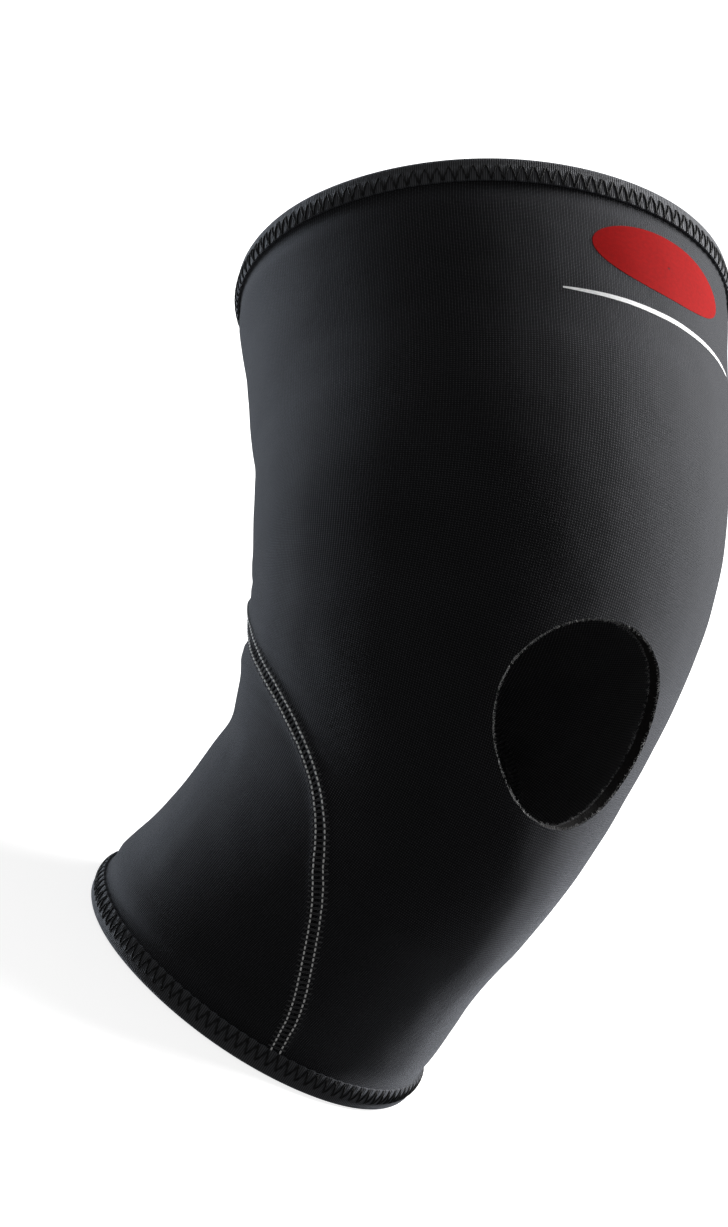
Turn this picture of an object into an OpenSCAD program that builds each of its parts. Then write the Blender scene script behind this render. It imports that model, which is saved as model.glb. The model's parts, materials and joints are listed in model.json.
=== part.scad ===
// Open-kneecap knee sleeve: a sewn tube of foam laminate that stands on its lower hem.
// The calf half stands upright. The thigh half leans back (+Y) at the angle the sleeve is sewn to.
// The kneecap opening faces -Y. The lateral side is -X.

/* [Leg shape] */
// Length of the calf half, from the middle of the knee bend to the lower hem
calf_len = 119; // [112:1:126]
// Length of the thigh half, from the middle of the knee bend to the upper hem
thigh_len = 115; // [112:1:122]
// Outer radius of the lower cuff
calf_r = 54.5; // [52:0.5:57]
// Outer radius of the upper cuff
thigh_r = 71.5; // [70:0.5:74]
// Bend of the knee that the sleeve is sewn to, in degrees
rest_bend = 55; // [50:1:58]
// Radius of the leg's centre line through the bend
bend_r = 122; // [118:1:126]

/* [Laminate] */
// Thickness of the outer jersey
face_t = 0.5; // [0.4:0.05:0.7]
// Thickness of the foam core
core_t = 2.6; // [2:0.1:3]
// Thickness of the lining
lining_t = 0.5; // [0.4:0.05:0.6]
// Film of glue between two layers
glue_t = 0.05; // [0.03:0.01:0.08]

/* [Kneecap opening] */
// Width of the opening, measured round the leg
hole_w = 57; // [48:1:62]
// Height of the opening, measured along the front of the leg
hole_h = 60; // [50:1:64]
// Drop of the opening's centre below the middle of the bend, along the centre line
hole_drop = 10; // [8:1:12]

/* [Seams and hems] */
// Height of the tape that binds each hem
binding_h = 8; // [7:0.5:9]
// Thickness of the binding tape
tape_t = 0.7; // [0.5:0.1:0.8]
// Distance between the two needle rows of a flat seam
row_gap = 2.8; // [2.4:0.1:3.4]
// Width of the cover stitches of a flat seam
cover_w = 5.5; // [5:0.5:6.5]
// Number of zigzag stitches round the lower hem
calf_zigzags = 104; // [96:4:112]
// Number of zigzag stitches round the upper hem
thigh_zigzags = 132; // [124:4:140]

/* [Printed mark] */
// Width of the oval mark, measured round the leg
mark_w = 54; // [40:1:58]
// Height of the oval mark
mark_h = 20; // [14:1:22]

/* [Hidden] */
$fn = 96;

// Places along the leg are distances s on the centre line, from the middle of the bend, up the thigh.
// Places round the leg are angles th, 0 at the kneecap, 180 at the back, positive on the medial side.
wall_t = face_t + core_t + lining_t + 2 * glue_t;
half_arc = bend_r * rest_bend * PI / 360;
cuff_h = 14;           // straight, round stretch at each hem
hem_gap = 1;           // laminate edge to the bottom of the binding
seam_gap = 0.15;       // panel edge to the seam line
body_gap = 0.3;        // knee panels to thigh panels
zone_gap = 0.05;       // calf panels to knee panels
knee_bottom = -80;     // where the knee panels start
knee_top = 60;         // where the thigh panels start
apex = 10;             // where the side seams meet at the back
thread_lift = 0.5;     // cover stitches to the face
inner_lift = 1.4;      // looper to the lining
zigzag_lift = 0.15;    // zigzag thread to the binding
thread_gap = 0.25;     // needle rows to the cover stitches
print_lift = 0.25;     // printed marks to the face
label_lift = 0.7;      // label to the lining
print_t = 0.1;
label_t = 0.3;
thread_t = 0.25;
needle_w = 0.7;
round_step = 360 / 32; // angle between columns round the tube

// Outline of the leg: [s, half width, depth in front, depth behind]
OUTLINE = [
  [-calf_len + cuff_h, calf_r, calf_r, calf_r],
  [-72, 50, 60.5, 48.5],
  [-36, 51, 70, 55],
  [-6, 60, 70, 58.5],
  [28, 67, 73.5, 61],
  [72, 69, 72.5, 67],
  [thigh_len - cuff_h, thigh_r, thigh_r, thigh_r]];

// Side seams: [s, angle from the kneecap], up to the point where they meet
LATERAL = [[-calf_len, 21], [-100, 24.5], [-80, 35], [-60, 48.5], [-40, 70.5], [-20, 113.5], [apex, 180]];
MEDIAL = [[-calf_len, 62], [-100, 64], [-80, 68], [-60, 76], [-40, 92], [-20, 122], [apex, 180]];

CALF_ROWS = [-calf_len + hem_gap, -109, -100, -90, knee_bottom - zone_gap];
REAR_ROWS = [knee_bottom, -70, -60, -50, -40, -32, -25, -18, -12, -6, 0, 5, apex - 0.6];
KNEE_ROWS = [for (s = REAR_ROWS) if (s < 6) s, apex, 20, 30, 40, 50, knee_top - body_gap];
THIGH_ROWS = [knee_top, 70, 80, 90, 100, 107, thigh_len - hem_gap];

function clamp(x, lo, hi) = min(max(x, lo), hi);

// Smooth curve through the points p, value in column k, straight ends
function slope(p, k, i) =
  let (lo = max(i - 1, 0), hi = min(i + 1, len(p) - 1))
  (p[hi][k] - p[lo][k]) / (p[hi][0] - p[lo][0]);
function span_of(p, x, i = 0) = i >= len(p) - 2 || x < p[i + 1][0] ? i : span_of(p, x, i + 1);
function curve(p, k, x) =
  let (i = span_of(p, x), h = p[i + 1][0] - p[i][0], t = clamp((x - p[i][0]) / h, 0, 1))
  (2 * t ^ 3 - 3 * t ^ 2 + 1) * p[i][k] + (t ^ 3 - 2 * t ^ 2 + t) * h * slope(p, k, i)
  + (3 * t ^ 2 - 2 * t ^ 3) * p[i + 1][k] + (t ^ 3 - t ^ 2) * h * slope(p, k, i + 1);

// Centre line: lean of the leg at s, and its place
function lean(s) = clamp((s + half_arc) / bend_r * 180 / PI, 0, rest_bend);
function centre(s) =
  let (past = max(s - half_arc, 0), under = min(s + half_arc, 0))
  [0,
   bend_r * (1 - cos(lean(s))) + past * sin(rest_bend),
   calf_len - half_arc + under + bend_r * sin(lean(s)) + past * cos(rest_bend)];

// Depth of the section at th, and a place on the leg t below the outer face
function depth(s, th) = curve(OUTLINE, cos(th) > 0 ? 2 : 3, s);
function skin(s, th, t) =
  let (a = curve(OUTLINE, 1, s), d = depth(s, th),
       n = [sin(th) * d, cos(th) * a] / norm([sin(th) * d, cos(th) * a]),
       out = d * cos(th) - t * n[1])
  centre(s) + [a * sin(th) - t * n[0], -out * cos(lean(s)), out * sin(lean(s))];

// Millimetres of cloth per millimetre of s, and per degree of th
function along(s, th) = abs(s) < half_arc ? 1 + depth(s, th) * cos(th) / bend_r : 1;
function across(s, th) = norm([curve(OUTLINE, 1, s) * cos(th), depth(s, th) * sin(th)]) * PI / 180;

// Seam angles, and the columns of each panel between them
function gap_angle(s, th) = seam_gap / across(s, th);
function steps(lo, hi, n) = [for (i = [0:n]) lo + (hi - lo) * i / n];
function lateral(s) = s >= apex ? 180 : curve(LATERAL, 1, s);
function medial(s) = s >= apex ? 180 : curve(MEDIAL, 1, s);
function front_columns(s, n) =
  steps(-lateral(s) + gap_angle(s, lateral(s)), medial(s) - gap_angle(s, medial(s)), n);
function rear_columns(s, n) =
  steps(medial(s) + gap_angle(s, medial(s)), 360 - lateral(s) - gap_angle(s, lateral(s)), n);

// Closed solid between two equal grids of points, out and in. A loop's last row joins its first.
module slab(out, in, loop = false) {
  r = len(out);
  c = len(out[0]);
  last = loop ? r - 1 : r - 2;
  o = function(i, j) (i % r) * c + j;
  n = function(i, j) (r + i % r) * c + j;
  quad = function(p, q, u, v) [[p, q, u], [p, u, v]];
  faces = [
    for (i = [0:last]) for (j = [0:c - 2])
      each quad(o(i, j), o(i + 1, j), o(i + 1, j + 1), o(i, j + 1)),
    for (i = [0:last]) for (j = [0:c - 2])
      each [[n(i, j), n(i + 1, j + 1), n(i + 1, j)], [n(i, j), n(i, j + 1), n(i + 1, j + 1)]],
    for (i = [0:last]) each quad(o(i + 1, 0), o(i, 0), n(i, 0), n(i + 1, 0)),
    for (i = [0:last]) each quad(o(i, c - 1), o(i + 1, c - 1), n(i + 1, c - 1), n(i, c - 1)),
    if (!loop) for (j = [0:c - 2]) each quad(o(0, j), o(0, j + 1), n(0, j + 1), n(0, j)),
    if (!loop) for (j = [0:c - 2])
      each quad(o(last + 1, j + 1), o(last + 1, j), n(last + 1, j), n(last + 1, j + 1))];
  polyhedron(points = [for (row = concat(out, in)) each row], faces = faces);
}

// Panel of one layer, from t0 to t1 below the outer face. columns(s) lists its angles at s.
module panel(rows, columns, t0, t1) {
  slab([for (s = rows) [for (th = columns(s)) skin(s, th, t0)]],
       [for (s = rows) [for (th = columns(s)) skin(s, th, t1)]]);
}

// Knee panel: a ring of cloth between the kneecap opening and the panel's own edge
hole_s = hole_h / 2 / along(-hole_drop, 0);
hole_th = asin(hole_w / 2 / curve(OUTLINE, 1, -hole_drop)) * 0.96;
function knee_edge() = [
  for (th = front_columns(knee_bottom, 8)) [KNEE_ROWS[0], th],
  for (i = [1:len(KNEE_ROWS) - 2]) [KNEE_ROWS[i], front_columns(KNEE_ROWS[i], 1)[1]],
  for (i = [0:32]) [KNEE_ROWS[len(KNEE_ROWS) - 1], front_columns(knee_top, 32)[32 - i]],
  for (i = [1:len(KNEE_ROWS) - 2])
    let (s = KNEE_ROWS[len(KNEE_ROWS) - 1 - i]) [s, front_columns(s, 1)[0]]];
function knee_ring(w) = [
  for (e = knee_edge())
    let (bearing = atan2((e[0] + hole_drop) / hole_s, e[1] / hole_th),
         rim = [-hole_drop + hole_s * sin(bearing), hole_th * cos(bearing)])
    rim + (e - rim) * w];
module knee_front(t0, t1) {
  rings = 9;
  spokes = function(t) [
    for (i = [0:len(knee_edge()) - 1]) [for (k = [rings:-1:0]) let (p = knee_ring(k / rings)[i]) skin(p[0], p[1], t)]];
  slab(spokes(t0), spokes(t1), loop = true);
}

// Flat strip of thread along path, a list of [s, th], moved off sideways, w wide, t0 to t1 deep
function sideways(path, i) =
  let (p = path[max(i - 1, 0)], q = path[min(i + 1, len(path) - 1)], m = path[i],
       d = [(q[0] - p[0]) * along(m[0], m[1]), (q[1] - p[1]) * across(m[0], m[1])],
       u = d / norm(d))
  [-u[1] / along(m[0], m[1]), u[0] / across(m[0], m[1])];
module strand(path, off, w, t0, t1) {
  edge = function(i, x) path[i] + sideways(path, i) * (off + x);
  strip = function(t) [
    for (i = [0:len(path) - 1]) [for (x = [-w / 2, w / 2]) skin(edge(i, x)[0], edge(i, x)[1], t)]];
  slab(strip(t0), strip(t1));
}

// The three threads of a flat seam: two needle rows, the cover stitches under them and the inside looper
needle_lift = thread_lift + thread_t + thread_gap;
module needles(path) {
  for (side = [-1, 1])
    strand(path, side * row_gap / 2, needle_w, -needle_lift - thread_t, -needle_lift);
}
module cover(path) {
  strand(path, 0, cover_w, -thread_lift - thread_t, -thread_lift);
}
module looper(path) {
  strand(path, 0, cover_w, wall_t + inner_lift, wall_t + inner_lift + thread_t);
}
seam_foot = -calf_len + binding_h + 0.6;
seam_head = thigh_len - binding_h - 0.6;
CALF_SEAM = [seam_foot, -100, -90, knee_bottom - 0.8];
KNEE_SEAM = [for (s = REAR_ROWS) if (s < 6) s];
BACK_SEAM = [apex + 1, 20, 30, 40, 50, knee_top - body_gap];
THIGH_SEAM = [knee_top, 70, 80, 90, 100, seam_head];
function lateral_path(rows) = [for (s = rows) [s, -lateral(s)]];
function medial_path(rows) = [for (s = rows) [s, medial(s)]];
function back_path(rows) = [for (s = rows) [s, 180]];

// Folded tape round a hem: bore inside, foot at z = 0, free edges upward
module binding(r) {
  outer = r + 0.1 + tape_t;
  inner = r - wall_t - 0.35 - tape_t;
  foot = 0.8;
  rotate_extrude()
    polygon([
      [inner, 0], [outer - 0.5, 0], [outer, 0.5], [outer, binding_h],
      [outer - tape_t, binding_h], [outer - tape_t, foot], [inner + tape_t, foot],
      [inner + tape_t, binding_h], [inner, binding_h]]);
}

// Zigzag stitches on the outside of a binding, foot of the hem at z = 0
module zigzag(r, count) {
  lo = 2;
  hi = binding_h - 1;
  half_w = 0.8;
  wall = r + 0.1 + tape_t + zigzag_lift;
  strip = function(x) [
    for (i = [0:2 * count - 1])
      let (turn = 180 * i / count, z = i % 2 == 0 ? lo : hi)
      [for (w = [-half_w, half_w]) [x * cos(turn), x * sin(turn), z + w]]];
  slab(strip(wall + thread_t), strip(wall), loop = true);
}

// Carries a hem drawn at z = 0 to the end of the thigh, upside down
module at_thigh_hem() {
  translate(centre(thigh_len)) rotate([180 - rest_bend, 0, 0]) children();
}

core_in = face_t + glue_t;
lining_in = core_in + core_t + glue_t;
front_calf = function(s) front_columns(s, 8);
rear_all = function(s) rear_columns(s, 24);
around = function(s) front_columns(s, 32);

module calf_hem_binding() { color([0.13, 0.13, 0.14]) binding(calf_r); }
module calf_hem_zigzag() { color([0.03, 0.03, 0.03]) zigzag(calf_r, calf_zigzags); }
module calf_front_face() { color([0.06, 0.06, 0.07]) panel(CALF_ROWS, front_calf, 0, face_t); }
module calf_front_core() {
  color([0.1, 0.1, 0.1]) panel(CALF_ROWS, front_calf, core_in, core_in + core_t);
}
module calf_front_lining() { color([0.08, 0.08, 0.09]) panel(CALF_ROWS, front_calf, lining_in, wall_t); }
module calf_rear_face() { color([0.06, 0.06, 0.07]) panel(CALF_ROWS, rear_all, 0, face_t); }
module calf_rear_core() {
  color([0.1, 0.1, 0.1]) panel(CALF_ROWS, rear_all, core_in, core_in + core_t);
}
module calf_rear_lining() { color([0.08, 0.08, 0.09]) panel(CALF_ROWS, rear_all, lining_in, wall_t); }
module calf_lateral_needles() { color([0.7, 0.7, 0.68]) needles(lateral_path(CALF_SEAM)); }
module calf_lateral_cover() { color([0.03, 0.03, 0.03]) cover(lateral_path(CALF_SEAM)); }
module calf_lateral_looper() { color([0.03, 0.03, 0.03]) looper(lateral_path(CALF_SEAM)); }
module calf_medial_needles() { color([0.7, 0.7, 0.68]) needles(medial_path(CALF_SEAM)); }
module calf_medial_cover() { color([0.03, 0.03, 0.03]) cover(medial_path(CALF_SEAM)); }
module calf_medial_looper() { color([0.03, 0.03, 0.03]) looper(medial_path(CALF_SEAM)); }
module knee_front_face() { color([0.06, 0.06, 0.07]) knee_front(0, face_t); }
module knee_front_core() { color([0.1, 0.1, 0.1]) knee_front(core_in, core_in + core_t); }
module knee_front_lining() { color([0.08, 0.08, 0.09]) knee_front(lining_in, wall_t); }
module knee_rear_face() { color([0.06, 0.06, 0.07]) panel(REAR_ROWS, rear_all, 0, face_t); }
module knee_rear_core() {
  color([0.1, 0.1, 0.1]) panel(REAR_ROWS, rear_all, core_in, core_in + core_t);
}
module knee_rear_lining() { color([0.08, 0.08, 0.09]) panel(REAR_ROWS, rear_all, lining_in, wall_t); }
module knee_lateral_needles() { color([0.7, 0.7, 0.68]) needles(lateral_path(KNEE_SEAM)); }
module knee_lateral_cover() { color([0.03, 0.03, 0.03]) cover(lateral_path(KNEE_SEAM)); }
module knee_lateral_looper() { color([0.03, 0.03, 0.03]) looper(lateral_path(KNEE_SEAM)); }
module knee_medial_needles() { color([0.7, 0.7, 0.68]) needles(medial_path(KNEE_SEAM)); }
module knee_medial_cover() { color([0.03, 0.03, 0.03]) cover(medial_path(KNEE_SEAM)); }
module knee_medial_looper() { color([0.03, 0.03, 0.03]) looper(medial_path(KNEE_SEAM)); }
module knee_back_needles() { color([0.7, 0.7, 0.68]) needles(back_path(BACK_SEAM)); }
module knee_back_cover() { color([0.03, 0.03, 0.03]) cover(back_path(BACK_SEAM)); }
module knee_back_looper() { color([0.03, 0.03, 0.03]) looper(back_path(BACK_SEAM)); }
module thigh_face() { color([0.06, 0.06, 0.07]) panel(THIGH_ROWS, around, 0, face_t); }
module thigh_core() { color([0.1, 0.1, 0.1]) panel(THIGH_ROWS, around, core_in, core_in + core_t); }
module thigh_lining() { color([0.08, 0.08, 0.09]) panel(THIGH_ROWS, around, lining_in, wall_t); }
module thigh_back_needles() { color([0.7, 0.7, 0.68]) needles(back_path(THIGH_SEAM)); }
module thigh_back_cover() { color([0.03, 0.03, 0.03]) cover(back_path(THIGH_SEAM)); }
module thigh_back_looper() { color([0.03, 0.03, 0.03]) looper(back_path(THIGH_SEAM)); }
module thigh_hem_binding() { color([0.13, 0.13, 0.14]) at_thigh_hem() binding(thigh_r); }
module thigh_hem_zigzag() { color([0.03, 0.03, 0.03]) at_thigh_hem() zigzag(thigh_r, thigh_zigzags); }

// Plain oval mark on the front of the thigh, printed on the face
module mark_print() {
  mid = [91, 4];
  half_th = mark_w / 2 / across(mid[0], mid[1]);
  rows = [for (v = [-0.96, -0.8, -0.5, 0, 0.5, 0.8, 0.96]) mid[0] + mark_h / 2 * v];
  width = function(s) half_th * sqrt(1 - ((s - mid[0]) / (mark_h / 2)) ^ 2);
  color([0.85, 0.1, 0.09])
    panel(rows, function(s) steps(mid[1] - width(s), mid[1] + width(s), 8), -print_lift - print_t, -print_lift);
}

// Plain line under the mark
module line_print() {
  color([0.9, 0.9, 0.9])
    strand([for (th = [-26:6:34]) [74, th]], 0, 1.6, -print_lift - print_t, -print_lift);
}

// Blank label sewn inside the thigh, beside the back seam
module care_label() {
  color([0.92, 0.92, 0.9])
    panel([82, 90, 98, 106], function(s) steps(198, 222, 4), wall_t + label_lift, wall_t + label_lift + label_t);
}

calf_hem_binding();
calf_hem_zigzag();
calf_front_face();
calf_front_core();
calf_front_lining();
calf_rear_face();
calf_rear_core();
calf_rear_lining();
calf_lateral_needles();
calf_lateral_cover();
calf_lateral_looper();
calf_medial_needles();
calf_medial_cover();
calf_medial_looper();
knee_front_face();
knee_front_core();
knee_front_lining();
knee_rear_face();
knee_rear_core();
knee_rear_lining();
knee_lateral_needles();
knee_lateral_cover();
knee_lateral_looper();
knee_medial_needles();
knee_medial_cover();
knee_medial_looper();
knee_back_needles();
knee_back_cover();
knee_back_looper();
thigh_face();
thigh_core();
thigh_lining();
thigh_back_needles();
thigh_back_cover();
thigh_back_looper();
thigh_hem_binding();
thigh_hem_zigzag();
mark_print();
line_print();
care_label();
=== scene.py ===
"""Open-kneecap knee sleeve: cloth, seams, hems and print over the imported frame."""
import json
import math

import bpy
import numpy as np
from mathutils import Matrix, Vector
from mathutils.bvhtree import BVHTree

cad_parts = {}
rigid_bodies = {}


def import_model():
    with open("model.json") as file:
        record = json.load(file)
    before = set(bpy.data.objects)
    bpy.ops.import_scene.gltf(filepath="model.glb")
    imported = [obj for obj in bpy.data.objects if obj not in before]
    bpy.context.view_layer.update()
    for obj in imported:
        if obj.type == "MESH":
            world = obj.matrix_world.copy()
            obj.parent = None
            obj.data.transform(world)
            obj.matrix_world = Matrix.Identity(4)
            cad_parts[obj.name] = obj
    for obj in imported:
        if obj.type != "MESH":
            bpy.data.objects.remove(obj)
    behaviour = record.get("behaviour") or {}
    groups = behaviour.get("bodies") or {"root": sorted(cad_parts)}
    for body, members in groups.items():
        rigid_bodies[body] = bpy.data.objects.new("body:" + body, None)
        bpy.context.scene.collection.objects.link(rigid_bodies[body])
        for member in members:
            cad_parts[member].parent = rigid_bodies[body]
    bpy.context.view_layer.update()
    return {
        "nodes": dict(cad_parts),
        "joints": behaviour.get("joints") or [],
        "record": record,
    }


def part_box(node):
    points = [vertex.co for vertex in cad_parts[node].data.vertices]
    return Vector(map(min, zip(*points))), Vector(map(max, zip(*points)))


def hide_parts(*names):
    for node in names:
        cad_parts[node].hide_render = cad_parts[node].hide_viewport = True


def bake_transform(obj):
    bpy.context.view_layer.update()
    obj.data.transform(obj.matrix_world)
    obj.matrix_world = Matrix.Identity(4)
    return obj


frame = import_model()
MM = 0.001
rng = np.random.default_rng(7)

# ---------------------------------------------------------------- sizes from the frame, in millimetres
mounts = {m["name"]: m for m in frame["record"]["mounts"]}
hinge = np.array(frame["joints"][0]["pos_m"]) / MM
thigh_axis = mounts["thigh_cuff"]["axis"]
REST_BEND = math.atan2(thigh_axis[1], thigh_axis[2])
BEND_R = hinge[1] / (1 - math.cos(REST_BEND / 2))
HALF_ARC = BEND_R * REST_BEND / 2
CALF_LEN = hinge[2] + HALF_ARC - BEND_R * math.sin(REST_BEND / 2)
hem_centre = np.array(mounts["thigh_cuff"]["pos_m"]) / MM
KNEE_END_Z = CALF_LEN - HALF_ARC + BEND_R * math.sin(REST_BEND)
THIGH_LEN = HALF_ARC + (hem_centre[2] - KNEE_END_Z) / math.cos(REST_BEND)
BINDING_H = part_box("calf_hem_binding")[1].z / MM
TAPE_T = 0.7                                    # binding tape
WALL_T = 3.7                                    # whole laminate
FACE_T = 0.5                                    # its jersey
LINING_T = 0.5                                  # its lining
LAYER_GAP = 0.02                                # foam to jersey, and foam to lining
TAPE_OUT = TAPE_T + 0.1                         # outside of the tape, above the face
CALF_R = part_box("calf_hem_binding")[1].x / MM - TAPE_OUT
THIGH_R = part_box("thigh_hem_binding")[1].x / MM - TAPE_OUT
CUFF_H = 14.0                                   # straight, round stretch at each hem
HEM_GAP = 1.0                                   # laminate edge to the foot of the binding
APEX = 10.0                                     # where the side seams meet at the back
SEAM_GAP = 0.01                                 # panel edge to the seam line
HOLE_DROP = 10.0                                # kneecap opening's middle, below the middle of the bend
HOLE_W = 57.0                                   # its width
HOLE_H = 60.0                                   # its height along the cloth
ROUND_MM = 64.0                                 # cloth coordinates: millimetres for each radian round
ALONG_MM = 1.3                                  # and for each millimetre of s

# Outline of the leg, as in the CAD: s, half width, depth in front, depth behind
OUTLINE = np.array([
    [-CALF_LEN + CUFF_H, CALF_R, CALF_R, CALF_R],
    [-72, 50, 60.5, 48.5],
    [-36, 51, 70, 55],
    [-6, 60, 70, 58.5],
    [28, 67, 73.5, 61],
    [72, 69, 72.5, 67],
    [THIGH_LEN - CUFF_H, THIGH_R, THIGH_R, THIGH_R]])
# Side seams, as in the CAD: s, degrees from the kneecap
LATERAL = np.array([[-CALF_LEN, 21], [-100, 24.5], [-80, 35], [-60, 48.5], [-40, 70.5], [-20, 113.5],
                    [APEX, 180]])
MEDIAL = np.array([[-CALF_LEN, 62], [-100, 64], [-80, 68], [-60, 76], [-40, 92], [-20, 122], [APEX, 180]])


# ---------------------------------------------------------------- the leg's surface
def curve(points, column, x):
    """Smooth curve through the points, with straight ends."""
    x = np.asarray(x, float)
    i = np.clip(np.searchsorted(points[:, 0], x, side="right") - 1, 0, len(points) - 2)
    n = np.arange(len(points))
    lo, hi = np.maximum(n - 1, 0), np.minimum(n + 1, len(points) - 1)
    slope = (points[hi, column] - points[lo, column]) / (points[hi, 0] - points[lo, 0])
    h = points[i + 1, 0] - points[i, 0]
    t = np.clip((x - points[i, 0]) / h, 0, 1)
    a, b = points[i, column], points[i + 1, column]
    return ((2 * t**3 - 3 * t**2 + 1) * a + (t**3 - 2 * t**2 + t) * h * slope[i]
            + (3 * t**2 - 2 * t**3) * b + (t**3 - t**2) * h * slope[i + 1])


def lean(s):
    """How far the leg's axis leans back at s, in radians."""
    return np.clip((s + HALF_ARC) / BEND_R, 0, REST_BEND)


def depth(s, th):
    """Depth in front or behind, with a soft change at the sides."""
    front = np.clip(0.5 + np.cos(th) / 0.9, 0, 1)
    front = front**2 * (3 - 2 * front)
    return curve(OUTLINE, 3, s) + (curve(OUTLINE, 2, s) - curve(OUTLINE, 3, s)) * front


def skin(s, th, out=0.0):
    """Points out millimetres outside the leg's surface at s along it and th radians round it."""
    s, th = np.broadcast_arrays(np.asarray(s, float), np.asarray(th, float))
    a, d = curve(OUTLINE, 1, s), depth(s, th)
    nx, nd = np.sin(th) * d, np.cos(th) * a
    size = np.hypot(nx, nd)
    past, under = np.maximum(s - HALF_ARC, 0), np.minimum(s + HALF_ARC, 0)
    y = BEND_R * (1 - np.cos(lean(s))) + past * math.sin(REST_BEND)
    z = CALF_LEN - HALF_ARC + under + BEND_R * np.sin(lean(s)) + past * math.cos(REST_BEND)
    reach = d * np.cos(th) + out * nd / size
    return np.stack([a * np.sin(th) + out * nx / size,
                     y - reach * np.cos(lean(s)), z + reach * np.sin(lean(s))], -1)


def along(s, th):
    """Millimetres of cloth for each millimetre of s."""
    return np.where(np.abs(s) < HALF_ARC, 1 + depth(s, th) * np.cos(th) / BEND_R, 1.0)


def across(s, th):
    """Millimetres of cloth for each radian round."""
    return np.hypot(curve(OUTLINE, 1, s) * np.cos(th), depth(s, th) * np.sin(th))


def lateral(s):
    """The outer side seam's angle from the kneecap."""
    return np.radians(np.where(s >= APEX, 180.0, curve(LATERAL, 1, s)))


def medial(s):
    """The inner side seam's angle from the kneecap."""
    return np.radians(np.where(s >= APEX, 180.0, curve(MEDIAL, 1, s)))


def seam_distance(s, th):
    """Millimetres of cloth from the nearest seam line."""
    best = np.full(np.shape(s), 1e3)
    for side, angle in ((-1, lateral), (1, medial)):
        turn = (angle(s + 0.5) - angle(s - 0.5)) * side
        off = np.angle(np.exp(1j * (th - side * angle(s))))
        ac, al = across(s, th), along(s, th)
        square = 1 / np.sqrt(1 + (turn * ac / al) ** 2)
        best = np.minimum(best, np.abs(off * ac * square))
    return best


def ripple(u, v, waves):
    """Smooth noise from -1 to 1 over the cloth, from a few seeded waves."""
    total = np.zeros(np.shape(u))
    for ku, kv, phase, size in waves:
        total = total + size * np.sin(ku * u + kv * v + phase)
    return total


def make_waves(longest, shortest, count):
    """Waves in random directions, as (round, along, phase, size)."""
    waves = []
    for _ in range(count):
        k = 2 * math.pi / rng.uniform(shortest, longest)
        turn = rng.uniform(0, 2 * math.pi)
        phase = rng.uniform(0, 2 * math.pi)
        waves.append((k * math.cos(turn), k * math.sin(turn), phase, 1 / math.sqrt(count)))
    return waves


BROAD = make_waves(90, 40, 7)
SMALL = make_waves(26, 12, 9)

# Folds behind the knee, s, width and height: broad ones round to the sides, then tight ones at the back
BROAD_FOLDS = ((-29, 8, 1.3), (-53, 8, -1.5), (-92, 12, -1.0))
TIGHT_FOLDS = ((-31, 5.5, 0.9), (-22, 3.5, -1.2), (-12, 5, 0.8), (-1, 4.5, -0.6), (22, 9, 0.4))


def bumps(s, folds):
    """Height of a row of folds at s."""
    return sum(height * np.exp(-((s - at) / width) ** 2) for at, width, height in folds)


def relief(s, th):
    """How far the cloth stands out from the plain leg, in millimetres: seams, puckers and soft wrinkles."""
    x = seam_distance(s, th)
    u, v = th * ROUND_MM, s * ALONG_MM
    ridge = 0.42 * np.exp(-((x - 1.9) / 1.3) ** 2) - 0.7 * np.exp(-(x / 0.5) ** 2)
    soft = 0.24 * ripple(u, v, BROAD) + 0.05 * ripple(u, v, SMALL)
    pucker = 0.12 * np.exp(-((x - 6) / 5) ** 2) * np.sin(2 * math.pi * v / 7.0)
    from_back = np.abs(np.angle(np.exp(1j * (th - math.pi))))
    side = np.clip((math.radians(95) - from_back) / math.radians(35), 0, 1)
    folds = side**2 * (3 - 2 * side) * bumps(s, BROAD_FOLDS)
    folds = folds + np.exp(-((from_back / 0.9) ** 2)) * bumps(s, TIGHT_FOLDS)
    edge = np.minimum(s + CALF_LEN, THIGH_LEN - s)
    calm = np.clip((edge - BINDING_H) / 14, 0, 1)
    draw_in = -0.5 * np.exp(-((edge - BINDING_H - 1.5) / 3.0) ** 2)
    return ridge * np.clip(calm * 3, 0, 1) + (soft + pucker + folds) * calm + draw_in * (edge > BINDING_H)


# ---------------------------------------------------------------- sheets of cloth: s, th and quads
def grid_quads(rows, columns):
    i, j = np.meshgrid(np.arange(rows - 1), np.arange(columns - 1), indexing="ij")
    a = i * columns + j
    return np.stack([a, a + 1, a + columns + 1, a + columns], -1).reshape(-1, 4)


EDGE_STEPS = 12                                 # fine columns beside a seam
EDGE_W = 5.4                                    # their width together
FINE_FROM, FINE_TO = -42.0, 22.0                # stretch of finer rows round the knee
FINE_SIDE = math.radians(45)                    # half width of the finer patch in front
SIDE_COLUMNS, FRONT_COLUMNS = 60, 64
RINGS = 26                                      # rings of cloth from the fine patch in to the opening


def from_edge(s, start, end, steps):
    """Angles from a seam edge inward: fine columns over the first millimetres, then even ones."""
    span = end - start
    fine = np.sign(span) * np.minimum(EDGE_W / across(s, start), 0.45 * np.abs(span))
    k = np.arange(EDGE_STEPS + 1) / EDGE_STEPS
    m = np.arange(1, steps - EDGE_STEPS + 1) / (steps - EDGE_STEPS)
    near = start[:, None] + fine[:, None] * k
    return np.concatenate([near, near[:, -1:] + (span - fine)[:, None] * m], 1)


def gap(s, angle):
    """The gap at a seam, as an angle."""
    return SEAM_GAP / across(s, angle)


HOLE_S = HOLE_H / 2 / float(along(-HOLE_DROP, 0.0))
HOLE_TH = math.asin(HOLE_W / 2 / float(curve(OUTLINE, 1, -HOLE_DROP))) * 0.96


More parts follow.
